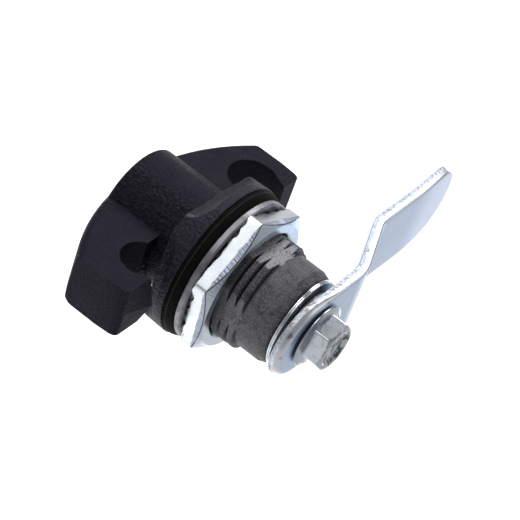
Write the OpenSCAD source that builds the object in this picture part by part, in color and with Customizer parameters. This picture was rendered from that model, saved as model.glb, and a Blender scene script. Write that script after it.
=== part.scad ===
// Twist lock latch: winged knob, panel sleeve and cranked cam.
// The latch axis is Y. The panel's outer face is the plane y = 0, the knob is in
// front of it (negative y) and the cam behind it. The wings lie along X, Z is up.

/* [Wing knob] */
// Reach of each wing from the axis, mm
wing_reach = 28.2; // [27.4:0.1:31]
// Thickness of the wings, mm
wing_thickness = 12; // [9:0.1:14]
// Rounding of the wings' front edges, mm
wing_edge = 1.6; // [0.5:0.1:3]
// Radius of the knob's round barrel, mm
knob_radius = 11.7; // [11:0.1:13]
// Height of the knob in front of the base, mm
knob_height = 18.6; // [17:0.1:21]
// Radius of the bowed front of the knob and wings, mm
front_curve = 49; // [45:1:70]
// Radius of the barrel's front edge, mm
knob_edge = 0.8; // [0.4:0.1:3.5]
// Gap between the base and the root of the wings, mm
wing_root_gap = 3.5; // [2:0.1:5]
// How far the wing tips reach back past the base's front, mm
tip_overlap = 3.2; // [1:0.1:3.6]
// Padlock notch of the wing at +X: distance from the axis, mm
notch_x = 18.1; // [17.6:0.1:19]
// Padlock notch of the wing at +X: radius, mm
notch_radius = 4.6; // [4:0.1:5]
// Padlock notch of the wing at -X: distance from the axis, mm
far_notch_x = 19.3; // [18.6:0.1:19.6]
// Padlock notch of the wing at -X: radius, mm
far_notch_radius = 5.4; // [4.4:0.1:5.6]

/* [Base] */
// Radius of the base at its front, mm
base_radius = 17.2; // [16.6:0.1:17.4]
// How much wider the base is at the gasket, mm
base_draft = 0.2; // [0:0.1:1]
// Height of the base above the gasket, mm
base_height = 5.5; // [5.2:0.1:7]
// Distance from the axis to the upper and lower flats of the base, mm
base_flat = 14.3; // [14:0.1:15.5]
// Distance from the axis to the side flats of the base, mm
side_flat = 13; // [12.6:0.1:14]

/* [Sleeve] */
// Outside diameter of the sleeve's thread, mm
thread_diameter = 23.6; // [23:0.1:24]
// Length of the thread behind the panel's outer face, mm
thread_length = 10.7; // [7:0.1:13]
// Diameter of the smooth end of the sleeve, mm
sleeve_diameter = 21.6; // [21:0.1:22.4]
// Length of the sleeve behind the panel's outer face, mm
sleeve_length = 17.9; // [16:0.1:24]
// Bore of the sleeve, mm
sleeve_bore = 15.2; // [14.8:0.1:15.6]

/* [Panel fittings] */
// Thickness of the gasket, mm
gasket_thickness = 2.5; // [1.5:0.1:3]
// How far the gasket's rim stays inside the base's foot, mm
gasket_inset = 0.2; // [0:0.1:0.8]
// Radius of the flat washer, mm
washer_radius = 16.4; // [15:0.1:17]
// Thickness of the flat washer, mm
washer_thickness = 1.5; // [1:0.1:2]
// Width of the nut across its flats, mm
nut_width = 29.6; // [28:0.1:31]
// Thickness of the nut, mm
nut_thickness = 4.3; // [3:0.1:5]
// Turn of the nut on the sleeve, degrees
nut_turn = 22.5; // [0:0.5:60]

/* [Cam] */
// Distance from the axis to the cam's tip, mm
cam_reach = 60.8; // [58:0.2:80]
// Width of the cam, mm
cam_width = 17.4; // [16:0.1:18]
// Thickness of the cam plate, mm
cam_thickness = 2.3; // [2:0.1:3]
// Step of the tongue toward the panel, mm
cam_step = 6.5; // [5:0.1:8]
// Angle of the crank, degrees
cam_crank = 29; // [25:1:40]
// Angle of the tip toward the panel, degrees
cam_tip_bend = 5.7; // [0:0.1:8]

/* [Cam bolt] */
// Width of the bolt head across its flats, mm
bolt_width = 10; // [9:0.1:10.4]
// Height of the bolt head above the cam, mm
bolt_height = 5.3; // [4.2:0.1:6]
// Radius of the bolt's flange, mm
flange_radius = 7.1; // [6.6:0.1:7.6]
// Turn of the bolt head, degrees
bolt_turn = 50; // [0:1:60]

/* [Turn] */
// Angle between the two stops, degrees
knob_travel = 90; // [60:1:120]

/* [Hidden] */
$fn = 96;

// clearances
gap = 0.3; // between moving pieces
run = 0.05; // running fit, on the radius
slip = 0.1; // washers and keys, on the radius
past = 1; // how far a cutter runs past a face

// radii that follow the base
base_foot = base_radius + base_draft;
gasket_radius = base_foot - gasket_inset;

// stations along the axis
base_back = -gasket_thickness;
base_front = base_back - base_height;
knob_back = base_front - gap;
knob_front = base_front - knob_height;
washer_back = washer_thickness;
nut_back = washer_back + nut_thickness;
end_washer_front = sleeve_length + gap;
end_washer_thickness = 0.42;
spring_front = end_washer_front + end_washer_thickness;
spring_height = 0.48;
spring_plate = 0.38;
spacer_front = spring_front + spring_height;
spacer_thickness = 0.8;
spacer_radius = 7.5;
disc_radius = 10.1;
crown_radius = 7.2; // level top of the dished spring washer
cam_front = spacer_front + spacer_thickness;
cam_back = cam_front + cam_thickness;
spindle_end = cam_back - 0.2;

// spindle
spindle_radius = 5.8;
square_width = 8.4;
spindle_front = knob_back - 12;
bolt_radius = 2.95;
bolt_length = 14;
ring_wire = 1.1; // radius of the ring's round section
ring_middle = sleeve_bore / 2 - run - ring_wire; // radius of the ring's middle line
ring_groove = 2.6;
bush_front = -1.4;
bush_length = 14;
bush_back = bush_front + bush_length;
front_ring_y = bush_front - ring_groove / 2;
rear_ring_y = bush_back + ring_groove / 2;
web_front = base_front + 1;
web_back = bush_front - ring_groove;
web_bore = spindle_radius + gap;
seat_radius = 10.7; // recess of the thrust washer
stop_circle = 8; // distance of the stop pin from the axis
stop_radius = 1.2;
stop_groove = stop_radius + gap;
stop_proud = 2; // how far the pin stands in the knob
stop_angle = 180; // place of the pin around the axis

// sleeve
sleeve_radius = sleeve_diameter / 2;
thread_radius = thread_diameter / 2;
thread_runout = 0.9; // length of the slope from the thread to the smooth end
sleeve_end_radius = sleeve_radius - 0.4;
sleeve_rim = 0.8; // length of the chamfer at the end
sleeve_taper = 1.8; // length of the narrowing before it

// flats of the base
flat_hollow = 3; // radius of the hollow that ends each flat
upper_run_out = 1.1; // from the gasket to the hollow's end
side_run_out = 2.2;

// wing profile
front_centre = knob_front + front_curve;
tip_back = base_front + tip_overlap;
tip_corner = 1.3;
nut_bevel = 1.3; // height of the cone that bevels the corners
bolt_bevel = 0.6;
root_back = base_front - wing_root_gap;
tip_inner = notch_x + 2.8;
far_tip_inner = far_notch_x + 3.2;
notch_y = root_back + 2.2;
far_notch_y = root_back + 0.7;

// cam profile
cam_half = cam_width / 2;
hub_offset = 3.2; // centre of the round hub end, past the axis
hub_round = 1.9; // rounding of the hub end's rear edge
crank_start = 13;
crank_bend = 13.5; // rear radius of the first bend
foot_bend = 5; // rear radius of the second bend
tip_start = cam_reach - 14.6;
tip_side = 48; // radius of the tip's sides
slope_drop = cam_step - (crank_bend + foot_bend) * (1 - cos(cam_crank));
slope_run = slope_drop / tan(cam_crank);
slope_start = crank_start + crank_bend * sin(cam_crank);
slope_end = slope_start + slope_run;
foot_end = slope_end + foot_bend * sin(cam_crank);
tongue_back = cam_back - cam_step;

// turns a profile of (radius, y) round the latch axis
module turned() {
  rotate([-90, 0, 0])
    rotate_extrude()
      children();
}

// a plate with its outline in X and Z, from y0 to y1
module plate(y0, y1) {
  translate([0, y1, 0])
    rotate([90, 0, 0])
      linear_extrude(y1 - y0)
        children();
}

// a ring or disc from y0 to y1
module disc(inner, outer, y0, y1) {
  turned()
    translate([inner, y0])
      square([outer - inner, y1 - y0]);
}

// square bar with turned corners, seen along the axis
module key_outline(extra = 0) {
  intersection() {
    square(square_width + 2 * extra, center = true);
    circle(r = spindle_radius + extra);
  }
}

// Housing: base and sleeve

module base_profile() {
  edge = 0.8;
  union() {
    polygon([
      [0, base_front], [base_radius - edge, base_front], [base_radius, base_front + edge],
      [base_foot, base_back], [thread_radius, base_back], [thread_radius, thread_length - thread_runout],
      [sleeve_radius, thread_length], [sleeve_radius, sleeve_length - sleeve_taper],
      [sleeve_end_radius, sleeve_length - sleeve_rim], [sleeve_end_radius - 0.5, sleeve_length],
      [0, sleeve_length]
    ]);
    translate([base_radius - edge, base_front + edge])
      circle(r = edge);
  }
}

// one flat of the base with its hollow run-out, as a profile in Y and Z
module flat_cut_profile(flat, run_out) {
  hollow_y = base_back - run_out - flat_hollow;
  translate([base_front - past, flat])
    square([hollow_y - base_front + past, base_foot]);
  translate([hollow_y, flat + flat_hollow])
    circle(r = flat_hollow);
  translate([base_front - past, flat + flat_hollow])
    square([hollow_y - base_front + past + flat_hollow, base_foot]);
}

module flat_cut(turn, flat, run_out) {
  rotate([0, turn, 0])
    rotate([90, 0, 90])
      linear_extrude(4 * base_radius, center = true)
        flat_cut_profile(flat, run_out);
}

module flat_cuts() {
  for (side = [0, 180]) {
    flat_cut(side, base_flat, upper_run_out);
    flat_cut(side + 90, side_flat, side_run_out);
  }
}

module housing() {
  color([0.13, 0.13, 0.15])
    difference() {
      turned()
        base_profile();
      flat_cuts();
      disc(0, seat_radius, base_front - past, web_front);
      disc(0, web_bore, web_front - past, web_back + past);
      disc(0, sleeve_bore / 2, web_back, sleeve_length + past);
      stop_hole(stop_radius, web_front - past, web_back - 0.4);
    }
}

module stop_hole(radius, y0, y1) {
  rotate([0, stop_angle, 0])
    translate([stop_circle, y0, 0])
      rotate([-90, 0, 0])
        cylinder(r = radius, h = y1 - y0);
}

module stop_pin() {
  color([0.7, 0.71, 0.74])
    stop_hole(stop_radius, knob_back - stop_proud, web_back - 0.4);
}

module bearing_bush() {
  color([0.72, 0.55, 0.3])
    disc(spindle_radius + run, sleeve_bore / 2, bush_front, bush_back);
}

module thrust_washer() {
  color([0.9, 0.9, 0.86])
    difference() {
      disc(web_bore, seat_radius - slip, knob_back + run, web_front);
      stop_hole(stop_radius + slip, knob_back - past, web_front + past);
    }
}

// Fittings at the panel

module panel_gasket() {
  lip = 0.9;
  color([0.1, 0.09, 0.08])
    turned()
      polygon([
        [thread_radius + slip, -gasket_thickness], [gasket_radius, -gasket_thickness],
        [gasket_radius, -gasket_thickness + lip], [gasket_radius - 0.4, -0.5],
        [gasket_radius - 1, 0], [thread_radius + slip, 0]
      ]);
}

module flat_washer() {
  edge = 0.2;
  color([0.75, 0.76, 0.78])
    turned()
      polygon([
        [thread_radius + gap, 0], [washer_radius - edge, 0], [washer_radius, edge],
        [washer_radius, washer_back - edge], [washer_radius - edge, washer_back],
        [thread_radius + gap, washer_back]
      ]);
}

// keeps the inside of a cone that bevels the rear corners of a hexagon
module bevel_cone(width, y0, y1, drop) {
  flat = width / 2 - 0.3;
  corner = width / sqrt(3);
  outer = corner + past;
  turned()
    polygon([
      [0, y0 - past], [outer, y0 - past], [outer, y1 - drop * (outer - flat) / (corner - flat)],
      [flat, y1], [0, y1]
    ]);
}

module hex_nut() {
  corner = nut_width / sqrt(3);
  color([0.85, 0.87, 0.92])
    difference() {
      intersection() {
        rotate([0, -nut_turn, 0])
          plate(washer_back, nut_back)
            circle(r = corner, $fn = 6);
        bevel_cone(nut_width, washer_back, nut_back, nut_bevel);
      }
      disc(0, thread_radius + run, washer_back - past, nut_back + past);
    }
}

// Knob

module barrel_profile() {
  edge_x = knob_radius - knob_edge;
  edge_y = front_centre - sqrt(pow(front_curve - knob_edge, 2) - pow(edge_x, 2));
  below = front_curve + past;
  // the bowed face, as far as the line where the rounded edge begins
  intersection() {
    translate([0, front_centre])
      circle(r = front_curve, $fn = 360);
    polygon([
      [0, front_centre], [0, front_centre - below],
      [edge_x * below / (front_centre - edge_y), front_centre - below]
    ]);
    translate([0, knob_front - past])
      square([knob_radius, edge_y - knob_front + past]);
  }
  translate([edge_x, edge_y])
    circle(r = knob_edge);
  translate([0, edge_y])
    square([knob_radius, knob_back - edge_y]);
}

// outline of the wing at +X, seen from above
module wing_outline(cut_x, cut_y, cut_radius, inner) {
  difference() {
    polygon([
      [0, knob_front - past], [wing_reach, knob_front - past], [wing_reach, tip_back - 5],
      [wing_reach - 0.4, tip_back], [inner, tip_back], [cut_x, tip_back], [cut_x, root_back],
      [0, root_back]
    ]);
    translate([cut_x, cut_y])
      circle(r = cut_radius);
    polygon([
      [cut_x, cut_y], [cut_x + cut_radius * cos(20), cut_y + cut_radius * sin(20)],
      [inner, tip_back], [inner, tip_back + past], [cut_x - past, tip_back + past]
    ]);
    // rounded rear corner of the tip
    translate([wing_reach - 0.4 - tip_corner, tip_back - tip_corner])
      difference() {
        square([2 * tip_corner, 2 * tip_corner]);
        circle(r = tip_corner);
      }
  }
}

// wide disc with a rounded rim; the wings' bowed front is a part of this rim
module bowed_rim() {
  half = wing_thickness / 2;
  translate([0, front_centre, 0])
    rotate_extrude($fn = 360) {
      translate([0, -half])
        square([front_curve - wing_edge, wing_thickness]);
      translate([0, wing_edge - half])
        square([front_curve, wing_thickness - 2 * wing_edge]);
      for (side = [-1, 1])
        translate([front_curve - wing_edge, side * (half - wing_edge)])
          circle(r = wing_edge);
    }
}

module wing(cut_x, cut_y, cut_radius, inner) {
  intersection() {
    linear_extrude(wing_thickness + 2 * past, center = true)
      wing_outline(cut_x, cut_y, cut_radius, inner);
    bowed_rim();
  }
}

// arc groove that the stop pin runs in
module stop_track() {
  for (turn = [0, knob_travel])
    rotate([0, -turn, 0])
      stop_hole(stop_groove, knob_back - stop_proud - gap, knob_back + past);
  rotate([90, 0, 0])
    rotate([0, 0, stop_angle])
      translate([0, 0, -knob_back - past])
        rotate_extrude(angle = knob_travel)
          translate([stop_circle - stop_groove, 0])
            square([2 * stop_groove, stop_proud + gap + past]);
}

module wing_knob() {
  color([0.12, 0.12, 0.14])
    difference() {
      union() {
        turned()
          barrel_profile();
        wing(notch_x, notch_y, notch_radius, tip_inner);
        mirror([1, 0, 0])
          wing(far_notch_x, far_notch_y, far_notch_radius, far_tip_inner);
      }
      plate(spindle_front - gap, knob_back + past)
        key_outline(run);
      stop_track();
    }
}

// Spindle and seals

module spindle() {
  shoulder = end_washer_front;
  color([0.66, 0.67, 0.7])
    difference() {
      union() {
        plate(spindle_front, knob_back + past)
          key_outline();
        disc(0, spindle_radius, knob_back, shoulder);
        plate(shoulder - past, spindle_end)
          key_outline();
      }
      for (y = [front_ring_y, rear_ring_y])
        disc(ring_middle - ring_wire, spindle_radius + past, y - ring_groove / 2, y + ring_groove / 2);
      disc(0, bolt_radius + run, cam_back - bolt_length - past, spindle_end + past);
    }
}

module o_ring(y) {
  color([0.07, 0.07, 0.07])
    turned()
      translate([ring_middle, y])
        circle(r = ring_wire);
}

module front_o_ring() {
  o_ring(front_ring_y);
}

module rear_o_ring() {
  o_ring(rear_ring_y);
}

// Washers and cam

module end_washer() {
  color([0.82, 0.84, 0.87])
    plate(end_washer_front, spring_front)
      difference() {
        circle(r = disc_radius);
        key_outline(slip);
      }
}

module spring_washer() {
  color([0.8, 0.82, 0.85])
    turned()
      polygon([
        [spindle_radius + slip, spacer_front - spring_plate], [spindle_radius + slip, spacer_front],
        [crown_radius, spacer_front], [disc_radius, spring_front + spring_plate], [disc_radius, spring_front],
        [disc_radius - 0.7, spring_front]
      ]);
}

module cam_spacer() {
  color([0.3, 0.31, 0.33])
    plate(spacer_front, cam_front)
      difference() {
        circle(r = spacer_radius);
        key_outline(slip);
      }
}

// outline of the cam, seen along the axis, with the tongue toward +X
module cam_outline() {
  side_y = tip_side - cam_half;
  tip_span = cam_reach - tip_start;
  tip_radius = (pow(tip_side, 2) - pow(tip_span, 2) - pow(side_y, 2)) / (2 * (tip_side - tip_span));
  tip_centre = cam_reach - tip_radius;
  touch = tip_start + (tip_centre - tip_start) * tip_side / (tip_side - tip_radius);
  translate([-hub_offset, 0])
    circle(r = cam_half);
  translate([-hub_offset, -cam_half])
    square([tip_start + hub_offset, cam_width]);
  translate([tip_centre, 0])
    circle(r = tip_radius);
  intersection() {
    translate([tip_start, -cam_half])
      square([touch - tip_start, cam_width]);
    translate([tip_start, -side_y])
      circle(r = tip_side, $fn = 360);
    translate([tip_start, side_y])
      circle(r = tip_side, $fn = 360);
  }
}

// points along an arc from one angle to another
function arc(cx, cy, radius, from, to, steps) = [
  for (i = [0:steps])
    let (turn = from + (to - from) * i / steps)
      [cx + radius * cos(turn), cy + radius * sin(turn)]
];

// the cam seen from the side, tongue toward +X, axis along Y
module cam_side() {
  steps = 16;
  hub_end = -hub_offset - cam_half - past;
  tip_end = cam_reach + past;
  tip_drop = (tip_end - tip_start) * tan(cam_tip_bend);
  rear = concat(
    [[hub_end, cam_back]],
    arc(crank_start, cam_back - crank_bend, crank_bend, 90, 90 - cam_crank, steps),
    arc(foot_end, tongue_back + foot_bend, foot_bend, 270 - cam_crank, 270, steps),
    [[tip_start, tongue_back], [tip_end, tongue_back - tip_drop]]
  );
  front = concat(
    [[tip_end, tongue_back - tip_drop - cam_thickness], [tip_start, tongue_back - cam_thickness]],
    arc(foot_end, tongue_back + foot_bend, foot_bend + cam_thickness, 270, 270 - cam_crank, steps),
    arc(crank_start, cam_back - crank_bend, crank_bend - cam_thickness, 90 - cam_crank, 90, steps),
    [[hub_end, cam_front]]
  );
  polygon(concat(rear, front));
}

// takes the rounded rear edge off the hub end
module hub_edge() {
  intersection() {
    turned_at(-hub_offset)
      difference() {
        translate([cam_half - hub_round, cam_back - hub_round])
          square([hub_round + past, hub_round + past]);
        translate([cam_half - hub_round, cam_back - hub_round])
          circle(r = hub_round);
      }
    translate([-hub_offset - 2 * cam_width, cam_front, -cam_width])
      cube([2 * cam_width, 2 * cam_thickness, 2 * cam_width]);
  }
}

module turned_at(x) {
  translate([x, 0, 0])
    turned()
      children();
}

module cam() {
  color([0.78, 0.84, 0.93])
    mirror([1, 0, 0])
      difference() {
        intersection() {
          linear_extrude(cam_width + 2 * past, center = true)
            cam_side();
          plate(tongue_back - 3 * cam_thickness, cam_back + past)
            cam_outline();
        }
        hub_edge();
        plate(cam_front - past, cam_back + past)
          key_outline(slip);
      }
}

module cam_bolt() {
  flange_back = cam_back + 1.2;
  head_back = cam_back + bolt_height;
  corner = bolt_width / sqrt(3);
  color([0.8, 0.82, 0.85])
    difference() {
      union() {
        disc(0, bolt_radius, cam_back - bolt_length, cam_back + past / 2);
        turned()
          polygon([
            [0, cam_back], [5.6, cam_back], [flange_radius, cam_back + 0.45],
            [flange_radius, cam_back + 0.8], [5.9, flange_back], [0, flange_back]
          ]);
        intersection() {
          rotate([0, -bolt_turn, 0])
            plate(flange_back - past / 2, head_back)
              circle(r = corner, $fn = 6);
          bevel_cone(bolt_width, flange_back, head_back, bolt_bevel);
        }
      }
      turned()
        polygon([
          [0, head_back - 0.6], [3.1, head_back - 0.6], [4, head_back], [4, head_back + past],
          [0, head_back + past]
        ]);
    }
}

housing();
panel_gasket();
flat_washer();
hex_nut();
bearing_bush();
thrust_washer();
stop_pin();
wing_knob();
spindle();
front_o_ring();
rear_o_ring();
end_washer();
spring_washer();
cam_spacer();
cam();
cam_bolt();
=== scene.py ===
import bpy, bmesh, math
import numpy as np
from mathutils import Matrix, Vector


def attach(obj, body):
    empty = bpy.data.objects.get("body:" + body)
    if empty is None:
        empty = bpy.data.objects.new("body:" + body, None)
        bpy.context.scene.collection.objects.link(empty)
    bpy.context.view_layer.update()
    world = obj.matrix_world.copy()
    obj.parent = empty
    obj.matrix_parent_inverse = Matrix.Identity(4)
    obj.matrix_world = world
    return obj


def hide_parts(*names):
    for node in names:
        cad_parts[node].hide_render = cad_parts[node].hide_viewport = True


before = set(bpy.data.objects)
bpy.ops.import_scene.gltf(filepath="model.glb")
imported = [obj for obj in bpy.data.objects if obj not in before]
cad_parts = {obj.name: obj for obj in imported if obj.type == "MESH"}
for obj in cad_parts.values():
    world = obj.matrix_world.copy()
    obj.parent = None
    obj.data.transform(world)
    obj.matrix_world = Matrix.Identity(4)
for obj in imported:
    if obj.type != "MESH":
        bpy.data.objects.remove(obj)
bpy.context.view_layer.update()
mm = 0.001
free = 99.0  # a radius in millimetres past every piece, where only the other limits count

# the camera stands where the photographer's did, fitted to the wings, washer and sleeve
cameraSettings = {
    "place": (0.30040, 0.13920, 0.29205),
    "right": (-0.591188, 0.761185, 0.266633),
    "up": (-0.416826, -0.571373, 0.706958),
    "lens": 154.71,
    "sensor": 36.0,
}


# The camera's turn comes from two directions: up is made square to right, and back is their
# cross product.
def makeCamera(settings):
    right = Vector(settings["right"]).normalized()
    up = Vector(settings["up"])
    up = (up - right * up.dot(right)).normalized()
    back = right.cross(up)
    data = bpy.data.cameras.new("photoCamera")
    data.lens = settings["lens"]
    data.sensor_width = settings["sensor"]
    data.clip_start = 0.01
    data.clip_end = 50.0
    camera = bpy.data.objects.new("photoCamera", data)
    bpy.context.scene.collection.objects.link(camera)
    turn = Matrix((right, up, back)).transposed().to_4x4()
    turn.translation = Vector(settings["place"])
    camera.matrix_world = turn
    bpy.context.scene.camera = camera
    return camera


makeCamera(cameraSettings)
print("camera set")


# ways to make a skin

# A grid of points (rows, columns, 3) in millimetres becomes one closed skin. Rows and columns
# that end on the same points are sewn together, and the sign of the volume turns the faces outward.
def skinFromGrid(name, points, uv=None, sharp=38.0):
    rows, columns = points.shape[:2]
    index = np.arange(rows * columns).reshape(rows, columns)
    quads = np.stack([index[:-1, :-1], index[:-1, 1:], index[1:, 1:], index[1:, :-1]], -1).reshape(-1, 4)
    flat = points.reshape(-1, 3)
    a, b, c, d = (flat[quads[:, k]] for k in range(4))
    volume = (a * np.cross(b, c)).sum() + (a * np.cross(c, d)).sum()
    if volume < 0:
        quads = quads[:, ::-1]
    mesh = bpy.data.meshes.new(name)
    mesh.vertices.add(len(flat))
    mesh.vertices.foreach_set("co", (flat * mm).ravel())
    mesh.loops.add(quads.size)
    mesh.loops.foreach_set("vertex_index", quads.ravel())
    mesh.polygons.add(len(quads))
    mesh.polygons.foreach_set("loop_start", np.arange(0, quads.size, 4))
    mesh.update(calc_edges=True)
    if uv is not None:
        layer = mesh.uv_layers.new(name="belt")
        layer.data.foreach_set("uv", uv.reshape(-1, 2)[quads.ravel()].ravel())
    work = bmesh.new()
    work.from_mesh(mesh)
    bmesh.ops.remove_doubles(work, verts=work.verts, dist=0.002 * mm)
    work.to_mesh(mesh)
    work.free()
    return finishedObject(name, mesh, sharp)


# A mesh becomes an object with smooth shading, and edges sharper than the angle stay sharp.
def finishedObject(name, mesh, sharp):
    mesh.polygons.foreach_set("use_smooth", np.ones(len(mesh.polygons), bool))
    mesh.set_sharp_from_angle(angle=math.radians(sharp))
    piece = bpy.data.objects.new(name, mesh)
    bpy.context.scene.collection.objects.link(piece)
    return piece


# Corner points (radius, y, rounding) become one closed line: each corner is cut back by its
# rounding along both sides and bridged by a curve of the second degree through the corner.
def roundedLine(corners, steps=6):
    spots = np.array([c[:2] for c in corners], float)
    cut = np.array([c[2] for c in corners], float)
    before = np.roll(spots, 1, 0) - spots
    after = np.roll(spots, -1, 0) - spots
    start = spots + before / np.linalg.norm(before, axis=1)[:, None] * cut[:, None]
    end = spots + after / np.linalg.norm(after, axis=1)[:, None] * cut[:, None]
    t = np.linspace(0, 1, steps + 1)[None, :, None]
    line = (1 - t) ** 2 * start[:, None] + 2 * t * (1 - t) * spots[:, None] + t ** 2 * end[:, None]
    line = line.reshape(-1, 2)
    keep = np.linalg.norm(line - np.roll(line, 1, 0), axis=1) > 1e-6
    line = line[keep]
    return np.vstack([line, line[:1]])


# Extra points along a line, so that no step is longer than the given one, or than each part's own.
def denser(line, step):
    parts = [line[:1]]
    for a, b, longest in zip(line[:-1], line[1:], np.broadcast_to(step, len(line) - 1)):
        count = max(1, int(np.ceil(np.linalg.norm(b - a) / longest)))
        parts.append(a + (b - a) * (np.arange(1, count + 1) / count)[:, None])
    return np.vstack(parts)


# A line of (radius, y) turned round the latch axis: x = r cos, z = r sin, y kept.
# The radius may be changed by a function of radius, y and angle.
def spun(name, line, columns, reshape=None, uv=None, sharp=38.0):
    turn = np.linspace(0, 2 * np.pi, columns + 1)
    radius = np.repeat(line[:, :1], columns + 1, 1)
    y = np.repeat(line[:, 1:], columns + 1, 1)
    angle = np.repeat(turn[None], len(line), 0)
    if reshape is not None:
        radius, y = reshape(radius, y, angle)
    radius[:, -1] = radius[:, 0]
    y[:, -1] = y[:, 0]
    points = np.stack([radius * np.cos(angle), y, radius * np.sin(angle)], -1)
    points[:, -1] = points[:, 0]
    return skinFromGrid(name, points, None if uv is None else uv(radius, y, angle), sharp)


# The lesser of two values, with the edge between them rounded over the given width.
def softLess(a, b, width):
    share = np.clip(0.5 + 0.5 * (b - a) / width, 0, 1)
    return b + (a - b) * share - width * share * (1 - share)


# 0 below low and 1 above high, with three squares less two cubes of the share between them.
def softStep(value, low, high):
    t = np.clip((value - low) / (high - low), 0, 1)
    return t * t * (3 - 2 * t)


# Unevenness round a turn: a sum of whole-number cosine waves with seeded phases.
def ripple(angle, seed, low, high, count=14):
    draw = np.random.RandomState(seed)
    waves = draw.randint(low, high + 1, count)
    phase = draw.uniform(0, 2 * np.pi, count)
    return sum(np.cos(angle * w + p) for w, p in zip(waves, phase)) / math.sqrt(count / 2)


# Radius of a hexagon at an angle; a high power of the six faces' cosines rounds its corners.
def hexagon(angle, width, corner, power=90.0):
    faces = math.radians(corner + 30) + np.arange(6) * math.pi / 3
    lean = np.maximum(np.cos(angle[..., None] - faces), 0)
    return width / 2 / (lean ** power).sum(-1) ** (1 / power)


# Gives a piece its finish, its body and the nodes of the solids that it replaces.
def place(piece, body, slot, material, *nodes):
    piece.data.materials.clear()
    piece.data.materials.append(material)
    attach(piece, body)
    if nodes:
        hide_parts(*nodes)
    return piece


# finishes

class Wire:
    # a socket that takes part in sums; each operator adds one Math node
    def __init__(self, finish, socket):
        self.finish = finish
        self.socket = socket

    def math(self, operation, *others):
        values = dict(enumerate([self, *others]))
        return self.finish.node("ShaderNodeMath", {"operation": operation}, values)

    def __add__(self, other):
        return self.math("ADD", other)

    __radd__ = __add__

    def __mul__(self, other):
        return self.math("MULTIPLY", other)

    __rmul__ = __mul__

    def __sub__(self, other):
        return self.math("SUBTRACT", other)

    def __rsub__(self, other):
        return self.finish.node("ShaderNodeMath", {"operation": "SUBTRACT"}, {0: other, 1: self})

    def __abs__(self):
        return self.math("ABSOLUTE")

    # 0 below low, 1 above high, smooth between them; low may be the larger one
    def rise(self, low, high):
        settings = {"interpolation_type": "SMOOTHSTEP"}
        values = {"Value": self, "From Min": low, "From Max": high}
        return self.finish.node("ShaderNodeMapRange", settings, values)


class Finish:
    def __init__(self, name, **values):
        self.material = bpy.data.materials.new(name)
        self.material.use_nodes = True
        self.tree = self.material.node_tree
        self.tree.nodes.clear()
        self.surface = self.tree.nodes.new("ShaderNodeBsdfPrincipled")
        output = self.tree.nodes.new("ShaderNodeOutputMaterial")
        self.tree.links.new(self.surface.outputs[0], output.inputs["Surface"])
        self.set(**values)

    def set(self, **values):
        for key, value in values.items():
            socket = self.surface.inputs[key.replace("_", " ")]
            if isinstance(value, Wire):
                self.tree.links.new(value.socket, socket)
            else:
                socket.default_value = value

    # any node: its settings come first, then the values or links of its sockets
    def node(self, kind, settings=None, values=None, out=0):
        made = self.tree.nodes.new(kind)
        for key, value in (settings or {}).items():
            setattr(made, key, value)
        for key, value in (values or {}).items():
            if isinstance(value, Wire):
                self.tree.links.new(value.socket, made.inputs[key])
            else:
                made.inputs[key].default_value = value
        return Wire(self, made.outputs[out])

    def coords(self, out="Object"):
        return self.node("ShaderNodeTexCoord", out=out)

    def split(self, vector, axis):
        return self.node("ShaderNodeSeparateXYZ", None, {0: vector}, axis)

    # distance from the latch axis, in millimetres
    def radius(self):
        values = {0: self.coords(), 1: (1, 0, 1)}
        flat = self.node("ShaderNodeVectorMath", {"operation": "MULTIPLY"}, values)
        length = self.node("ShaderNodeVectorMath", {"operation": "LENGTH"}, {0: flat}, "Value")
        return length * 1000

    # noise whose grains are about the given size in millimetres; stretch squeezes it along an axis
    def noise(self, size, detail=2.0, vector=None, stretch=(1, 1, 1), rough=0.5, scale=None):
        scale = 1000 / size if scale is None else scale
        source = self.coords() if vector is None else vector
        source = self.node("ShaderNodeMapping", None, {"Vector": source, "Scale": stretch})
        values = {"Vector": source, "Scale": scale, "Detail": detail, "Roughness": rough}
        return self.node("ShaderNodeTexNoise", None, values, "Fac")

    def dots(self, size, vector=None, scale=None):
        scale = 1000 / size if scale is None else scale
        values = {"Vector": self.coords() if vector is None else vector, "Scale": scale}
        return self.node("ShaderNodeTexVoronoi", None, values, "Distance")

    def mixed(self, share, first, second):
        return self.node("ShaderNodeMix", {"data_type": "RGBA"}, {0: share, 6: first, 7: second}, 2)

    def bump(self, height, depth):
        values = {"Height": height, "Distance": depth * mm, "Strength": 1.0}
        return self.node("ShaderNodeBump", None, values)


def rgb(red, green, blue):
    return (red, green, blue, 1.0)


coatSettings = {
    "pit": rgb(0.0034, 0.0030, 0.0066),
    "colour": rgb(0.0205, 0.0188, 0.0370),
    "smoothColour": rgb(0.0124, 0.0112, 0.0250),
    # colour of the painted glints on the grains
    "speck": rgb(0.20, 0.20, 0.25),
    # colour of the painted highlight along an edge of the base's top flat
    "ridge": rgb(0.17, 0.17, 0.21),
    "grain": 0.62,
    "depth": 0.55,
    "roughness": 0.50,
    "tint": rgb(0.82, 0.79, 1.0),
}
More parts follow.
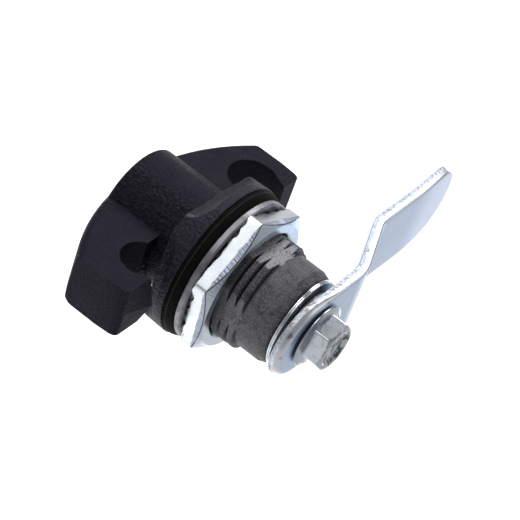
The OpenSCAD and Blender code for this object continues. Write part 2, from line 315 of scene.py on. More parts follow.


# black powder coat: sandy grain with painted glints as small light specks, smoother on faces that look
# along Z and beyond a distance from the axis; ridge is how far in millimetres a painted highlight on an
# edge of the base's top flat lies over the diagonal, or 0 where there is none
def powderCoat(name, settings, gloss, smoothBeyond, ridge=0.0):
    finish = Finish(name, Specular_IOR_Level=gloss, Specular_Tint=settings["tint"])
    grain = finish.noise(settings["grain"], 2.0)
    coarse = finish.noise(settings["grain"] * 9, 2.0)
    facing = abs(finish.split(finish.coords("Normal"), 2))
    away = finish.radius().rise(smoothBeyond, smoothBeyond + 1.5)
    smooth = facing.rise(0.93, 0.985).math("MAXIMUM", away)
    # painted glints: small light specks in the colour stand in for highlights on the grains
    specks = finish.dots(settings["grain"] * 1.6).rise(0.17, 0.08) * grain.rise(0.5, 0.62)
    sandy = finish.mixed(grain.rise(0.36, 0.66), settings["pit"], settings["colour"])
    colour = finish.mixed(smooth * 0.75, sandy, settings["smoothColour"])
    colour = finish.mixed(specks * (0.6 - 0.3 * smooth), colour, settings["speck"])
    # painted highlight: a light streak along the rounded edge between the base's top flat and side flat
    if ridge > 0:
        spot = finish.coords()
        beside = (finish.split(spot, 2) - finish.split(spot, 0)) * 1000
        run = finish.split(spot, 1) * 1000 + 7.8
        paintedHighlight = abs(beside - ridge - 0.38 * run * run).rise(0.9, 0.2) * run.rise(2.6, 1.4)
        paintedHighlight = paintedHighlight * finish.split(spot, 2).rise(0.0, 0.002)
        colour = finish.mixed(paintedHighlight * (0.35 + 0.6 * grain), colour, settings["ridge"])
    height = grain * (1 - 0.62 * smooth) + coarse * 0.3
    finish.set(
        Base_Color=colour,
        Roughness=settings["roughness"] + 0.16 * (coarse - 0.5) + 0.10 * smooth,
        Normal=finish.bump(height, settings["depth"]),
    )
    return finish.material


sleeveSettings = {
    "colour": rgb(0.162, 0.157, 0.174),
    "dark": rgb(0.075, 0.072, 0.080),
    "light": rgb(0.36, 0.35, 0.38),
    # colour of the slightly lighter flats and of the painted highlight on the upper flat
    "paintedHighlight": rgb(0.62, 0.61, 0.66),
    # colour of the painted shade in the thread's grooves
    "groove": rgb(0.008, 0.007, 0.008),
    # colour of the painted glints
    "speck": rgb(0.80, 0.78, 0.82),
    "grain": 0.36,
    "turn": 3.0,
    "flatAt": 10.68,
}


# bare cast sleeve: grey, grainy, with painted glints as light specks, painted shade in the grooves, and
# slightly lighter flats with a painted highlight on the upper one
def castSleeve(settings):
    finish = Finish("castSleeve", Metallic=0.25)
    grain = finish.noise(settings["grain"], 4.0, rough=0.6)
    patch = finish.noise(2.2, 3.0)
    spot = finish.coords()
    across = finish.split(spot, 0) * 1000
    up = finish.split(spot, 2) * 1000
    turn = math.radians(settings["turn"])
    cosine = math.cos(turn)
    sine = math.sin(turn)
    reach = abs(across * cosine + up * sine).math("MAXIMUM", abs(up * cosine - across * sine))
    flat = abs(reach - settings["flatAt"]).rise(0.12, 0.07)
    thread = finish.split(spot, 1).rise(0.0113, 0.0108)
    # painted shade: the thread's grooves, away from the flats, are darkened
    low = finish.radius().rise(11.35, 10.95) * thread * (1 - flat)
    colour = finish.mixed(patch.rise(0.3, 0.7), settings["dark"], settings["colour"])
    colour = finish.mixed(grain.rise(0.42, 0.72) * 0.7, colour, settings["light"])
    # slightly lighter flats, with a painted highlight on the upper flat, which faces the light
    paintedHighlight = flat * thread * (0.15 + 0.75 * up.rise(6.0, 9.0))
    colour = finish.mixed(paintedHighlight * grain.rise(0.25, 0.60), colour, settings["paintedHighlight"])
    # painted glints: light specks stand in for sparkle of light on the grain
    specks = finish.dots(settings["grain"] * 1.9).rise(0.2, 0.07) * grain.rise(0.46, 0.6)
    colour = finish.mixed(specks * 0.6, colour, settings["speck"])
    # painted shade laid into the thread's grooves
    colour = finish.mixed(low * 0.9, colour, settings["groove"])
    finish.set(
        Base_Color=colour,
        Roughness=0.5 + 0.3 * (grain - 0.5),
        Normal=finish.bump(grain + patch * 0.4, 0.12),
    )
    return finish.material


rubberSettings = {
    "colour": rgb(0.0045, 0.0036, 0.0032),
    "dust": rgb(0.011, 0.009, 0.008),
    # colour of the painted highlight along the front lip
    "lip": rgb(0.075, 0.068, 0.064),
    "lipHighlightAt": -1.62,
}


# black rubber with a brown cast, a little dusty, with a fine pressed grain and a painted highlight along
# the front lip
def gasketRubber(name, settings):
    finish = Finish(name, Specular_IOR_Level=0.12)
    dust = finish.noise(1.6, 4.0)
    grain = finish.noise(0.12, 2.0)
    colour = finish.mixed(dust.rise(0.42, 0.72), settings["colour"], settings["dust"])
    # painted highlight: a paler line along the front lip's edge
    lip = abs(finish.split(finish.coords(), 1) * 1000 - settings["lipHighlightAt"]).rise(0.12, 0.03)
    colour = finish.mixed(lip * 0.7, colour, settings["lip"])
    finish.set(
        Base_Color=colour,
        Roughness=0.7 + 0.2 * (dust - 0.5),
        Normal=finish.bump(grain * 0.5 + dust, 0.03),
    )
    return finish.material


camSettings = {
    "face": rgb(0.59, 0.71, 0.93),
    "faceLight": rgb(0.69, 0.79, 0.97),
    # colour of the painted sheen on the bent tongue end
    "tip": rgb(0.72, 0.79, 1.0),
    "burnished": rgb(0.91, 0.94, 1.0),
    "torn": rgb(0.68, 0.75, 0.88),
    "hubTorn": rgb(0.80, 0.84, 0.90),
    "speck": rgb(0.05, 0.05, 0.07),
    "roughness": 0.36,
}


# the cam's plating: cloudy faces, a painted lighter lavender sheen on the bent tongue end, and sheared
# edges that are burnished on one side and torn on the other; the belt map gives the way round and the
# depth in millimetres
def camPlating(settings):
    finish = Finish("camPlating", Metallic=1.0)
    belt = finish.node("ShaderNodeUVMap", {"uv_map": "belt"})
    around = finish.split(belt, 0)
    depth = finish.split(belt, 1)
    cloud = finish.noise(6.0, 4.0)
    lines = finish.noise(0.4, 3.0, stretch=(0.05, 1, 1))
    # painted sheen: the bent tongue end is lighter and more lavender
    bentTipSheen = finish.split(finish.coords(), 0).rise(-0.0400, -0.0580)
    face = finish.mixed(cloud.rise(0.3, 0.7), settings["face"], settings["faceLight"])
    face = finish.mixed(bentTipSheen * 0.7, face, settings["tip"])
    grit = finish.noise(1.0, 4.0, vector=belt, stretch=(2.6, 1.1, 1), scale=1.0)
    wander = finish.noise(1.0, 2.0, vector=belt, stretch=(0.35, 0.01, 1), scale=1.0)
    specks = finish.dots(1.0, vector=belt, scale=2.6)
    side = depth.rise(0.02, 0.10) * depth.rise(2.28, 2.20)
    torn = (depth + (wander - 0.5) * 1.3 + (grit - 0.5) * 0.25).rise(1.00, 1.60)
    streak = finish.noise(1.0, 3.0, vector=belt, stretch=(0.35, 0.9, 1), scale=1.0).rise(0.58, 0.66)
    reach = finish.split(finish.coords(), 0) * 1000
    hub = reach.rise(-14.0, -6.0)
    crank = hub + reach.rise(-36.0, -31.0) * (1 - hub) * 0.45
    tornColour = finish.mixed(hub * 0.8, settings["torn"], settings["hubTorn"])
    edge = finish.mixed(torn, settings["burnished"], tornColour)
    edge = finish.mixed(torn * grit.rise(0.45, 0.62) * 0.3, edge, settings["burnished"])
    edge = finish.mixed(streak * hub * 0.6, edge, settings["speck"])
    edge = finish.mixed(torn * crank * specks.rise(0.26, 0.12), edge, settings["speck"])
    finish.set(
        Base_Color=finish.mixed(side, face, edge),
        Roughness=settings["roughness"] + 0.14 * (cloud - 0.5) + 0.16 * side * torn,
        Normal=finish.bump(lines * 0.12 + cloud * 0.3 + side * torn * grit * (0.06 + 1.2 * crank), 0.06),
    )
    return finish.material


nutSettings = {
    "bright": rgb(0.86, 0.90, 0.96),
    # colour of the painted shade on the bevel
    "bevel": rgb(0.70, 0.78, 0.87),
    "torn": rgb(0.42, 0.47, 0.60),
    "seam": rgb(0.03, 0.035, 0.045),
    # colour of the painted shade at the bore
    "bore": rgb(0.14, 0.16, 0.20),
}


# the nut's plating: smooth bright belts at the washer, a torn bluish belt that ends in a dark line at the
# bevel, painted shade on the bevel and at the bore; the belt map holds the height below the bevel's edge
# in millimetres
def nutPlating(settings):
    finish = Finish("nutPlating", Metallic=1.0)
    belt = finish.node("ShaderNodeUVMap", {"uv_map": "belt"})
    below = finish.split(belt, 1)
    cloud = finish.noise(2.4, 4.0)
    strokes = finish.noise(1.0, 3.0, vector=belt, stretch=(60.0, 0.5, 1), scale=1.0)
    wander = finish.noise(1.0, 3.0, vector=belt, stretch=(34.0, 0.05, 1), scale=1.0)
    height = finish.split(finish.coords(), 1) * 1000
    torn = (height + (wander - 0.5) * 1.3).rise(4.25, 4.4) * below.rise(0.0, 0.06)
    line = below.rise(-0.10, 0.0) * below.rise(0.16, 0.04)
    # painted shade: the bevel takes a darker copy of the bright plating
    colour = finish.mixed(below.rise(-0.06, 0.02), settings["bevel"], settings["bright"])
    colour = finish.mixed(torn * (0.75 + 0.25 * strokes), colour, settings["torn"])
    colour = finish.mixed(line * cloud.rise(0.3, 0.5) * 0.85, colour, settings["seam"])
    # painted shade: darker towards the bore
    colour = finish.mixed(finish.radius().rise(12.9, 12.1) * 0.7, colour, settings["bore"])
    finish.set(
        Base_Color=colour,
        Roughness=0.30 + 0.2 * (cloud - 0.5) + 0.12 * torn,
        Normal=finish.bump(cloud * 0.3 + torn * strokes * 0.35 - line * 0.6, 0.04),
    )
    return finish.material


satinSettings = {
    "dull": rgb(0.24, 0.24, 0.26),
    "bright": rgb(0.40, 0.40, 0.43),
    # colour of the painted shade next to the nut
    "inner": rgb(0.060, 0.056, 0.054),
    "shadeFrom": 16.1,
    "shadeTo": 15.5,
}


# satin washer: bright at its rim, with painted shade, browner and darker, inward next to the nut, and
# turned lines round the axis
def washerSatin(settings):
    finish = Finish("washerSatin", Metallic=1.0)
    reach = finish.radius()
    cloud = finish.noise(1.8, 4.0)
    outward = finish.node("ShaderNodeCombineXYZ", None, {0: reach})
    values = {"Vector": outward, "Scale": 6.0, "Detail": 2.0}
    rings = finish.node("ShaderNodeTexNoise", None, values, "Fac")
    colour = finish.mixed(cloud.rise(0.3, 0.7), settings["dull"], settings["bright"])
    # painted shade: the ring darkens inward, next to the nut
    inner = (reach + (cloud - 0.5) * 1.0).rise(settings["shadeFrom"], settings["shadeTo"])
    colour = finish.mixed(inner * 0.9, colour, settings["inner"])
    finish.set(
        Base_Color=colour,
        Roughness=0.42 + 0.2 * (cloud - 0.5),
        Normal=finish.bump(rings * 0.6 + cloud * 0.5, 0.02),
    )
    return finish.material


plateSettings = {
    "colour": rgb(0.86, 0.88, 0.91),
    "stain": rgb(0.30, 0.31, 0.34),
    "roughness": 0.16,
}


# bright plating of small turned parts with a few stains; dish is the colour of the swirls in the
# bolt's end, and painted shade in the stain colour darkens the discs' rear faces, which lie deep between
# their neighbours
def brightPlate(name, gapShade=False, dish=None, **changes):
    settings = {**plateSettings, **changes}
    stain = settings["stain"]
    finish = Finish(name, Metallic=1.0)
    cloud = finish.noise(1.5, 4.0)
    fine = finish.noise(0.2, 2.0)
    shade = finish.mixed(cloud.rise(0.55, 0.8) * 0.4, settings["colour"], stain)
    # painted shade: the discs' rear faces, deep between their neighbours, take the stain colour
    if gapShade:
        facing = finish.split(finish.coords("Normal"), 1).rise(0.6, 0.9)
        gapShadeMask = facing * finish.radius().rise(9.95, 9.7)
        behind = finish.split(finish.coords(), 1).rise(0.0184, 0.0186)
        shade = finish.mixed(gapShadeMask * behind * 0.85, shade, stain)
    if dish is not None:
        swirl = finish.noise(1.1, 3.0, stretch=(1, 1, 0.45), rough=0.6)
        end = finish.split(finish.coords(), 1).rise(0.0266, 0.0268)
        end = end * finish.radius().rise(4.6, 4.3)
        shade = finish.mixed(end * swirl.rise(0.50, 0.55) * 0.85, shade, dish)
    finish.set(
        Base_Color=shade,
        Roughness=settings["roughness"] + 0.2 * (cloud - 0.5) + 0.08 * (fine - 0.5),
        Normal=finish.bump(cloud * 0.5 + fine * 0.2, 0.02),
    )
    return finish.material


# plain plastic, with faint clouds a fifth darker than its colour
def plainPlastic(name, colour):
    finish = Finish(name)
    cloud = finish.noise(1.4, 3.0)
    darker = rgb(*[0.8 * part for part in colour[:3]])
    shade = finish.mixed(cloud.rise(0.3, 0.7), colour, darker)
    finish.set(Base_Color=shade, Roughness=0.45 + 0.2 * (cloud - 0.5), Normal=finish.bump(cloud, 0.02))
    return finish.material


print("finishes ready")

# housing: the base and the sleeve

baseSettings = {
    "front": -8.0, "back": -2.5, "frontRadius": 17.2, "footRadius": 17.4, "frontEdge": 0.8,
    "flat": 13.75, "turn": 3.0, "hollow": 3.5, "hollowStart": -7.8, "lip": 0.45,
    "seat": 10.7, "seatBack": -7.0, "web": 6.1, "columns": 700, "step": 0.14, "hiddenStep": 0.8,
}


# The base is a line turned round the axis. Four flats cut it, turned a little as in the photo: the
# radius is at most the flat's distance over the cosine of the angle to it, and a quarter circle
# leads each flat outward.
def makeBase(s):
    line = roundedLine([
        (s["web"], s["seatBack"], 0), (s["seat"], s["seatBack"], 0.1), (s["seat"], s["front"], 0.15),
        (s["frontRadius"], s["front"], s["frontEdge"]), (s["footRadius"], s["back"], 0.25),
        (9.0, s["back"], 0), (9.0, s["back"] - 0.9, 0), (s["web"], s["back"] - 1.7, 0),
    ], 8)
    middle = (line[1:] + line[:-1]) / 2
    hidden = (middle[:, 0] < s["seat"] + 0.1) | (middle[:, 1] > s["back"] - 0.01)
    line = denser(line, np.where(hidden, s["hiddenStep"], s["step"]))

    def cut(radius, y, angle):
        run = np.clip(y - s["hollowStart"], 0, s["hollow"])
        lip = np.clip(s["lip"] - (y - s["front"]), 0, s["lip"])
        outward = s["hollow"] - np.sqrt(s["hollow"] ** 2 - run ** 2)
        inward = s["lip"] - np.sqrt(s["lip"] ** 2 - lip ** 2)
        reach = s["flat"] + outward - inward
        limit = np.where(y < s["hollowStart"] + s["hollow"], reach, free)
        for side in range(4):
            lean = np.cos(angle - math.radians(s["turn"] + 90 * side))
            flat = softLess(radius, limit / np.maximum(lean, 0.05), s["lip"])
            radius = np.where(radius > s["seat"] + 0.5, flat, radius)
        return radius, y

    return spun("baseBody", line, s["columns"], cut)


sleeveSizes = {
    "start": -2.9, "end": 17.9, "threadStart": 4.9, "threadEnd": 10.9, "root": 10.8, "crest": 11.8,
    "groove": 10.8, "pitch": 2.0, "endRadius": 10.4, "taper": 1.8, "rim": 0.8, "bore": 7.6,
    "flatAt": 10.68, "turn": 3.0, "wear": 0.05,
}


# The sleeve's radius: a screw ridge, which is a function of y over the pitch plus the angle over
# a turn, faded out at its end, and cut by four flats; beyond it a smooth end that narrows.
def makeSleeve(s):
    taperStart = s["end"] - s["taper"]
    rimStart = s["end"] - s["rim"]
    smoothStart = s["threadEnd"] + 0.1
    y = np.concatenate([
        np.linspace(s["start"], s["threadStart"], 5)[:-1],
        np.arange(s["threadStart"], smoothStart, 0.075),
        np.linspace(smoothStart, taperStart, 12),
        np.linspace(taperStart, rimStart, 6)[1:],
    ])
    radius = np.interp(y, [s["start"], taperStart, rimStart], [s["root"], s["root"], s["endRadius"]])
    outer = np.stack([radius, y], -1)
    rim = np.array([
        [s["endRadius"] - 0.12, s["end"] - 0.45], [s["endRadius"] - 0.5, s["end"]], [s["bore"], s["end"]],
    ])
    inner = np.array([[s["bore"], s["start"]], outer[0]])
    line = np.vstack([outer, rim, inner])

    def screw(radius, y, angle):
        phase = np.mod(y / s["pitch"] + angle / (2 * np.pi), 1.0)
        away = np.abs(phase - 0.5) * 2
        ridge = np.clip((away - 0.06) / 0.40, 0, 1)
        begun = softStep(y, s["threadStart"] - 0.2, s["threadStart"] + 0.1)
        ending = softStep(y, s["threadEnd"], s["threadEnd"] - 0.5)
        height = (s["groove"] - s["root"] + (s["crest"] - s["groove"]) * ridge) * begun * ending
        wear = s["wear"] * ripple(angle + y * 0.9, 5, 20, 90)
        bumped = radius + height + wear * np.clip(height, 0, 1)
        quarter = np.mod(angle - math.radians(s["turn"]) + np.pi / 4, np.pi / 2) - np.pi / 4
        cut = softLess(bumped, s["flatAt"] / np.cos(quarter), 0.12)
        outside = (radius > s["bore"] + 0.5) & (y > s["threadStart"] - 0.3) & (y < s["threadEnd"])
        return np.where(outside, cut, radius), y

    return spun("sleeveScrew", line, 560, screw, sharp=60)


baseCoat = powderCoat("baseCoat", coatSettings, gloss=0.64, smoothBeyond=30.0, ridge=4.7)
place(makeBase(baseSettings), "housing", "housing", baseCoat, "housing")
place(makeSleeve(sleeveSizes), "housing", "housing", castSleeve(sleeveSettings), "housing")
print("housing made")

# fittings at the panel

gasketSizes = {"inner": 11.9, "outer": 17.2, "front": -2.48, "lip": -1.6, "waist": -0.5, "back": -0.02}


# The gasket is a turned line; its front lip wanders in and out a little with the angle.
def makeGasket(s):
    line = denser(roundedLine([
        (s["inner"], s["front"], 0), (s["outer"], s["front"], 0.25), (s["outer"] - 0.05, s["lip"], 0.3),
        (s["outer"] - 0.45, s["waist"], 0.25), (s["outer"] - 0.95, s["back"], 0.2),
        (s["inner"], s["back"], 0),
    ]), 0.2)

    def uneven(radius, y, angle):
        share = softStep(radius, 15.5, 17.0)
        near = softStep(y, -1.2, -2.1)
        return radius + share * (0.05 * ripple(angle, 11, 3, 24) * near - 0.04), y

    return spun("gasketRing", line, 480, uneven)


washerSizes = {"inner": 12.1, "outer": 16.4, "front": 0.02, "back": 1.5}


# The washer is a flat ring with a rounded rim, turned round the axis.
def makeWasher(s):
    line = denser(roundedLine([
        (s["inner"], s["front"], 0.1), (s["outer"], s["front"], 0.25),
        (s["outer"], s["back"], 0.4), (s["inner"], s["back"], 0.1),
    ]), 0.25)
    return spun("washerRing", line, 480)


nutSizes = {
    "width": 29.6, "front": 1.53, "back": 5.8, "corner": 22.5, "bore": 11.85, "flat": 14.5, "drop": 1.3,
    "edge": 0.27, "tear": 0.17, "wander": 0.12, "fall": 0.34, "undercut": 0.40,
}


# The nut's side is the lesser of the hexagon and the bevel's cone; its washer edge is torn, so
# the side falls in below a wandering height.
def makeNut(s):
    side = np.linspace(s["back"], s["front"], 62)
    mouth = [[s["bore"], s["back"] - 0.7], [s["bore"] + 0.7, s["back"]]]
    line = np.vstack([
        mouth, [[13.4, s["back"]], [s["flat"] - 0.1, s["back"]]],
        np.stack([np.full(len(side), free), side], -1),
        [[14.0, s["front"]], [s["bore"], s["front"]], mouth[0]],
    ])
    corner = s["width"] / math.sqrt(3)
    slope = (corner - s["flat"]) / s["drop"]

    def shape(radius, y, angle):
        hexed = hexagon(angle, s["width"], s["corner"])
        cone = s["flat"] + slope * (s["back"] - y)
        limit = softLess(hexed, cone, 0.35)
        torn = s["front"] + s["edge"] + s["tear"] * ripple(angle, 21, 9, 38, 16)
        torn = torn + s["wander"] * ripple(angle, 22, 2, 9)
        fall = softStep(y, torn, torn - s["fall"])
        belt = softStep(y, 4.3, 4.6) * softStep(y, s["back"] - 0.05, s["back"] - 0.3)
        limit = limit - s["undercut"] * fall - 0.02 * belt * (1 + ripple(angle + 0.02 * y, 23, 90, 230))
        return np.where(radius == free, limit, radius), y

    def belt(radius, y, angle):
        hexed = hexagon(angle, s["width"], s["corner"])
        edge = s["back"] - (hexed - s["flat"]) / slope
        below = np.where(radius > s["flat"] - 0.05, edge - y, -3.0)
        return np.stack([angle / (2 * np.pi), below], -1)

    return spun("nutHex", line, 960, shape, belt, 30)


gasketBlack = gasketRubber("gasketRubber", rubberSettings)
washerZinc = washerSatin(satinSettings)
place(makeGasket(gasketSizes), "housing", "panel_gasket", gasketBlack, "panel_gasket")
place(makeWasher(washerSizes), "housing", "flat_washer", washerZinc, "flat_washer")
place(makeNut(nutSizes), "housing", "hex_nut", nutPlating(nutSettings), "hex_nut")
print("panel fittings made")

# knob

knobSettings = {
    "bevel": 0.35, "segments": 3, "angle": 32.0,
    "tipStart": 19.5, "tipInner": 20.9, "tipRear": -6.5, "mouldLine": -0.6, "bulge": (-0.7, 1.62, 0.0),
}


# The knob is a sewn copy of the exact solid; its flat parts are joined and its edges rolled. The
# rear inner edge of the near tip is divided at the mould line and stands out there.
def makeKnob(s):
    work = bmesh.new()
    work.from_mesh(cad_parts["wing_knob"].data)
    bmesh.ops.remove_doubles(work, verts=work.verts, dist=0.003 * mm)
    bmesh.ops.dissolve_limit(work, angle_limit=math.radians(0.6), verts=work.verts, edges=work.edges)
    tip = [f for f in work.faces if f.calc_center_median().x > s["tipStart"] * mm]
    rim = {v for f in tip for v in f.verts} | {e for f in tip for e in f.edges}
    mould = (0, 0, s["mouldLine"] * mm)
    cut = bmesh.ops.bisect_plane(work, geom=tip + list(rim), plane_co=mould, plane_no=(0, 0, 1))
    for part in cut["geom_cut"]:
        if isinstance(part, bmesh.types.BMVert):
            inner = abs(part.co.x - s["tipInner"] * mm) < 0.5 * mm
            if inner and part.co.y > s["tipRear"] * mm:
                part.co += Vector(s["bulge"]) * mm
    mesh = bpy.data.meshes.new("knobBody")
    work.to_mesh(mesh)
    work.free()
    knob = finishedObject("knobBody", mesh, 32)
    bevel = knob.modifiers.new("rolledEdges", "BEVEL")
    bevel.width = s["bevel"] * mm
    bevel.segments = s["segments"]
    bevel.limit_method = "ANGLE"
    bevel.angle_limit = math.radians(s["angle"])
    bevel.harden_normals = False
    return knob


knobCoat = powderCoat("knobCoat", coatSettings, gloss=0.27, smoothBeyond=12.5)
place(makeKnob(knobSettings), "knob", "wing_knob", knobCoat, "wing_knob")
print("knob made")

# discs, spacer, cam and bolt

discSizes = {
    "radius": 10.1, "bore": 5.9, "front": 18.2, "thickness": 0.42, "plate": 0.38,
    "lean": 9.4, "crown": 7.2, "springBack": 19.1, "spacer": 8.2, "spacerBack": 19.9,
}


# Three turned lines: a flat disc, a dished disc that leans on it with its rim, and the spacer.
def makeDiscs(s):
    bore = s["bore"]
    middle = s["front"] + s["thickness"]
    end = spun("endDisc", denser(roundedLine([
        (bore, s["front"], 0), (s["radius"], s["front"], 0.15),
        (s["radius"], middle, 0.15), (bore, middle, 0),
    ]), 0.4), 240)
    spring = spun("springDisc", denser(roundedLine([
        (bore, s["springBack"] - s["plate"], 0), (s["lean"], middle, 0.1), (s["radius"], middle, 0.1),
        (s["radius"], middle + s["plate"], 0.15), (s["crown"], s["springBack"], 0.2),
        (bore, s["springBack"], 0),
    ]), 0.4), 240)
    spacer = spun("spacerDisc", denser(roundedLine([
        (bore, s["springBack"], 0), (s["spacer"], s["springBack"], 0.15),
        (s["spacer"], s["spacerBack"], 0.15), (bore, s["spacerBack"], 0),
    ]), 0.3), 200)
    return end, spring, spacer


camSizes = {
    "back": 22.2, "thickness": 2.3, "width": 17.4, "hubOffset": 3.2,
    "reach": 60.74, "tipStart": 46.2, "tipSide": 48.0, "tipBend": 5.7, "tipSpan": 9.0,
    "step": 6.5, "crank": 23.4, "start": 11.4, "bend": 13.5, "foot": 5.0,
    "rearEdge": 0.40, "frontEdge": 0.30, "hubRound": 1.4, "deepest": 1.9, "tear": 0.05,
}


# Height of one face of the cam at a distance u from the axis: level, arc, slope, arc, and a tip
# that bends off gradually; near is 0 for the rear face and 1 for the front face.
def camFace(u, s, near):
    turn = math.radians(s["crank"])
    drop = s["step"] - (s["bend"] + s["foot"]) * (1 - math.cos(turn))
    slopeStart = s["start"] + s["bend"] * math.sin(turn)
    slopeEnd = slopeStart + drop / math.tan(turn)
    footEnd = slopeEnd + s["foot"] * math.sin(turn)
    first = s["bend"] - near * s["thickness"]
    second = s["foot"] + near * s["thickness"]
    level = s["back"] - near * s["thickness"]
    low = level - s["step"]
    x1 = s["start"] + first * math.sin(turn)
    x2 = footEnd - second * math.sin(turn)
    arc1 = level - first + np.sqrt(np.maximum(first ** 2 - np.clip(u - s["start"], 0, None) ** 2, 0))
    slope = level - first + first * math.cos(turn) - (u - x1) * math.tan(turn)
    arc2 = low + second - np.sqrt(np.maximum(second ** 2 - np.clip(footEnd - u, 0, None) ** 2, 0))
    part = np.clip((u - s["tipStart"]) / s["tipSpan"] + 0.5, 0, 1)
    past = np.clip(u - s["tipStart"] - s["tipSpan"] / 2, 0, None)
    tip = low - (s["tipSpan"] * part ** 2 / 2 + past) * math.tan(math.radians(s["tipBend"]))
    parts = [u < s["start"], u < x1, u < x2, u < footEnd]
    return np.select(parts, [level + 0 * u, arc1, slope, arc2], tip)


# The cam's outline seen along the axis: hub circle, straight sides, bowed sides and a round tip,
# with its outward directions, as one closed loop of evenly spaced points.
def camLoop(s, step=0.26):
    half = s["width"] / 2
    sideY = s["tipSide"] - half
    span = s["reach"] - s["tipStart"]
    tipRadius = (s["tipSide"] ** 2 - span ** 2 - sideY ** 2) / (2 * (s["tipSide"] - span))
    tipCentre = s["reach"] - tipRadius
    lean = math.atan2(tipCentre - s["tipStart"], sideY)
    tip = np.arange(0, math.pi / 2 - lean, step / tipRadius)
    bow = np.arange(math.pi / 2 - lean, math.pi / 2, step / s["tipSide"])
    edge = np.arange(s["tipStart"], -s["hubOffset"], -step)
    hub = np.arange(math.pi / 2, math.pi, step / half)
    loop = np.vstack([
        np.stack([tipCentre + tipRadius * np.cos(tip), tipRadius * np.sin(tip)], -1),
        np.stack([s["tipStart"] + s["tipSide"] * np.cos(bow), s["tipSide"] * np.sin(bow) - sideY], -1),
        np.stack([edge, np.full(len(edge), half)], -1),
        np.stack([-s["hubOffset"] + half * np.cos(hub), half * np.sin(hub)], -1),
        [[-s["hubOffset"] - half, 0.0]],
    ])
    way = np.vstack([
        np.stack([np.cos(tip), np.sin(tip)], -1), np.stack([np.cos(bow), np.sin(bow)], -1),
        np.stack([0 * edge, 0 * edge + 1], -1), np.stack([np.cos(hub), np.sin(hub)], -1), [[-1.0, 0.0]],
    ])
    flip = np.array([1, -1])
    return np.vstack([loop, loop[-2::-1] * flip]), np.vstack([way, way[-2::-1] * flip]), tipCentre


# The cam: each row lies a share of the way from the outline to the middle line on a face, or on
# the rounded and slightly torn side wall between the faces; heights follow the bent side view.
def makeCam(s):
    loop, way, tipCentre = camLoop(s)
    middle = np.stack([np.clip(loop[:, 0], -s["hubOffset"], tipCentre), 0 * loop[:, 0]], -1)
    length = np.concatenate([[0], np.cumsum(np.linalg.norm(np.diff(loop, axis=0), axis=1))])
    bow = np.linspace(0, np.pi / 2, 6)
    shares = np.array([1, 0.85, 0.7, 0.55, 0.4, 0.25, 0.12])
    tear = s["tear"] * ripple(length * 2 * np.pi / length[-1], 31, 30, 160, 26)
    hub = softStep(loop[:, 0], 6.0, -2.0)
    rear = s["rearEdge"] + (s["hubRound"] - s["rearEdge"]) * hub
    deep = np.minimum(rear, s["deepest"]) / s["thickness"]
    low = 1 - s["frontEdge"] / s["thickness"]
    rows = []
    belts = []

    def row(inset, share, u):
        base = loop - way * np.broadcast_to(inset, length.shape)[:, None]
        spot = base + (middle - base) * share
        y = camFace(spot[:, 0], s, 0.0) * (1 - u) + camFace(spot[:, 0], s, 1.0) * u
        rows.append(np.stack([-spot[:, 0], y, spot[:, 1]], -1))
        belts.append(np.stack([length, np.broadcast_to(u * s["thickness"], length.shape)], -1))

    for share in shares:
        row(rear, share, 0.0)
    for b in bow:
        row(rear * (1 - np.sin(b)), 0.0, deep * (1 - np.cos(b)))
    for w in np.linspace(0, 1, 11)[1:-1]:
        row(-tear * softStep(w, 0.35, 0.75) + 0.03, 0.0, deep + (low - deep) * w)
    for b in bow:
        row(s["frontEdge"] * (1 - np.cos(b)), 0.0, low + (1 - low) * np.sin(b))
    for share in shares[::-1]:
        row(s["frontEdge"], share, 1.0)
    return skinFromGrid("camPlate", np.array(rows), np.array(belts), 42)


boltSizes = {
    "seat": 22.2, "width": 10.0, "height": 5.3, "corner": 50.0, "flat": 4.7, "drop": 0.6, "dish": 0.6,
    "foot": 5.6, "flange": 7.1, "flangeHeight": 1.2, "shank": 2.95, "length": 14.0,
}


# The bolt is a turned line whose head rows take the lesser of a hexagon and a bevel cone.
def makeBolt(s):
    top = s["seat"] + s["height"]
    floor = top - s["dish"]
    end = s["seat"] - s["length"]
    flangeTop = s["seat"] + s["flangeHeight"]
    side = np.linspace(top, flangeTop + 0.1, 30)
    flange = roundedLine([
        (s["foot"], s["seat"], 0), (s["flange"], s["seat"] + 0.45, 0.12),
        (s["flange"], s["seat"] + 0.8, 0.12), (5.95, flangeTop, 0.1),
    ])[:-1]
    line = np.vstack([
        [[0.0, end], [s["shank"], end], [s["shank"], s["seat"]], [s["foot"], s["seat"]]],
        denser(flange, 0.2),
        np.stack([np.full(len(side), free), side[::-1]], -1),
        [[4.25, top], [3.95, top - 0.03], [3.6, top - 0.25], [3.1, floor], [1.5, floor], [0.0, floor]],
    ])
    corner = s["width"] / math.sqrt(3)
    slope = (corner - s["flat"]) / s["drop"]

    def shape(radius, y, angle):
        hexed = hexagon(angle, s["width"], s["corner"], 70.0)
        limit = softLess(hexed, s["flat"] + slope * (top - y), 0.08)
        return np.where(radius == free, limit, radius), y

    return spun("boltHead", line, 480, shape, sharp=32)


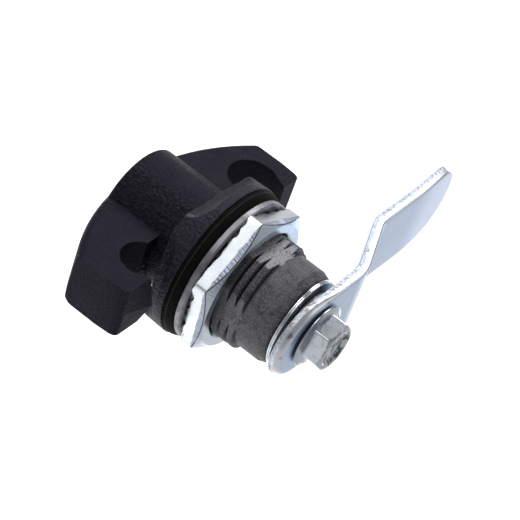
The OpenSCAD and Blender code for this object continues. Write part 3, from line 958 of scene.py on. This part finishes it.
# this stain colour also paints the shade on the discs' rear faces
brightDisc = brightPlate("brightDisc", gapShade=True, stain=rgb(0.07, 0.075, 0.085))
endDisc, springDisc, spacerDisc = makeDiscs(discSizes)
place(endDisc, "knob", "end_washer", brightDisc, "end_washer")
place(springDisc, "knob", "spring_washer", brightDisc, "spring_washer")
spacerLook = {"colour": rgb(0.34, 0.36, 0.40), "roughness": 0.35, "stain": rgb(0.12, 0.12, 0.14)}
place(spacerDisc, "knob", "cam_spacer", brightPlate("darkSpacer", **spacerLook), "cam_spacer")
place(makeCam(camSizes), "knob", "cam", camPlating(camSettings), "cam")
boltLook = {"colour": rgb(0.62, 0.66, 0.71), "roughness": 0.2, "dish": rgb(0.05, 0.06, 0.065)}
place(makeBolt(boltSizes), "knob", "cam_bolt", brightPlate("boltZinc", **boltLook), "cam_bolt")
print("cam and bolt made")

# pieces that stay as the solids they are

bushLook = {"colour": rgb(0.62, 0.43, 0.18), "roughness": 0.3, "stain": rgb(0.3, 0.2, 0.08)}
hiddenFinishes = {
    "bearing_bush": brightPlate("bushBrass", **bushLook),
    "thrust_washer": plainPlastic("slideWasher", rgb(0.04, 0.04, 0.042)),
    "stop_pin": brightPlate("pinSteel", colour=rgb(0.6, 0.61, 0.64), roughness=0.25),
    "spindle": brightPlate("spindleSteel", colour=rgb(0.55, 0.56, 0.6), roughness=0.28),
    "front_o_ring": gasketRubber("ringRubber", rubberSettings),
    "rear_o_ring": gasketRubber("rearRingRubber", rubberSettings),
}
for nodeName, material in hiddenFinishes.items():
    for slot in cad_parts[nodeName].material_slots:
        slot.material = material

# floor and lights

lightSettings = {
    "world": 0.22,
    "floor": -0.16,
    "floorGlow": 0.90,
    "floorEdge": 0.34,
    "floorBack": 0.07,
    "lamps": [
        ("overhead", (0.12, -0.25, 0.75), (0.3, 0.3), 0.78),
        ("high", (0.37, -0.25, 0.66), (0.3, 0.3), 0.24),
        ("left", (-0.54, -0.25, 0.53), (0.38, 0.38), 1.6),
        ("right", (0.75, -0.25, 0.02), (0.35, 0.35), 0.13),
        ("rear", (-0.54, 0.53, 0.25), (0.45, 0.45), 0.45),
    ],
}


# The floor shines white where the camera sees it and less elsewhere, so that the metal mirrors a
# darker room; a small card of light under the knob lights the nut's lower faces.
def makeFloor(height):
    span = np.array([[-3, -3], [3, -3], [3, 3], [-3, 3]], float)
    mesh = bpy.data.meshes.new("paleFloor")
    mesh.from_pydata([(x, y, height) for x, y in span], [], [(0, 1, 2, 3)])
    floor = bpy.data.objects.new("paleFloor", mesh)
    bpy.context.scene.collection.objects.link(floor)
    finish = Finish("paleFloor", Roughness=0.9, Emission_Strength=lightSettings["floorGlow"])
    x = finish.split(finish.coords(), 0)
    y = finish.split(finish.coords(), 1)
    edge = rgb(*[lightSettings["floorEdge"]] * 3)
    back = rgb(*[lightSettings["floorBack"]] * 3)
    around = finish.mixed(y.rise(-0.03, 0.05), edge, back)
    seen = x.rise(0.025, -0.045) * y.rise(0.100, 0.045)
    shade = x.rise(-0.200, -0.160) * y.rise(0.046, 0.066)
    card = x.rise(0.045, 0.080) * x.rise(0.160, 0.125)
    card = card * y.rise(-0.125, -0.085) * y.rise(-0.010, -0.045)
    bright = (seen * (1 - shade)).math("MAXIMUM", card)
    finish.set(Emission_Color=finish.mixed(bright, around, rgb(1, 1, 1)))
    cloud = finish.noise(40.0)
    finish.set(Base_Color=finish.mixed(cloud, rgb(0.94, 0.94, 0.94), rgb(0.96, 0.96, 0.96)))
    mesh.materials.append(finish.material)


# Every lamp is a square of light that faces the origin; the sky is plain white and weak.
def makeLamps(settings):
    for name, spot, size, power in settings["lamps"]:
        data = bpy.data.lights.new(name, "AREA")
        data.shape = "RECTANGLE"
        data.size, data.size_y = size
        data.energy = power
        lamp = bpy.data.objects.new(name, data)
        lamp.location = spot
        lamp.rotation_euler = (-Vector(spot)).to_track_quat("-Z", "Y").to_euler()
        bpy.context.scene.collection.objects.link(lamp)
    world = bpy.data.worlds.new("studio")
    bpy.context.scene.world = world
    world.use_nodes = True
    sky = world.node_tree.nodes["Background"]
    sky.inputs["Color"].default_value = rgb(1, 1, 1)
    sky.inputs["Strength"].default_value = settings["world"]
    bpy.context.scene.view_settings.view_transform = "Standard"


makeFloor(lightSettings["floor"])
makeLamps(lightSettings)
print("floor and lights set")
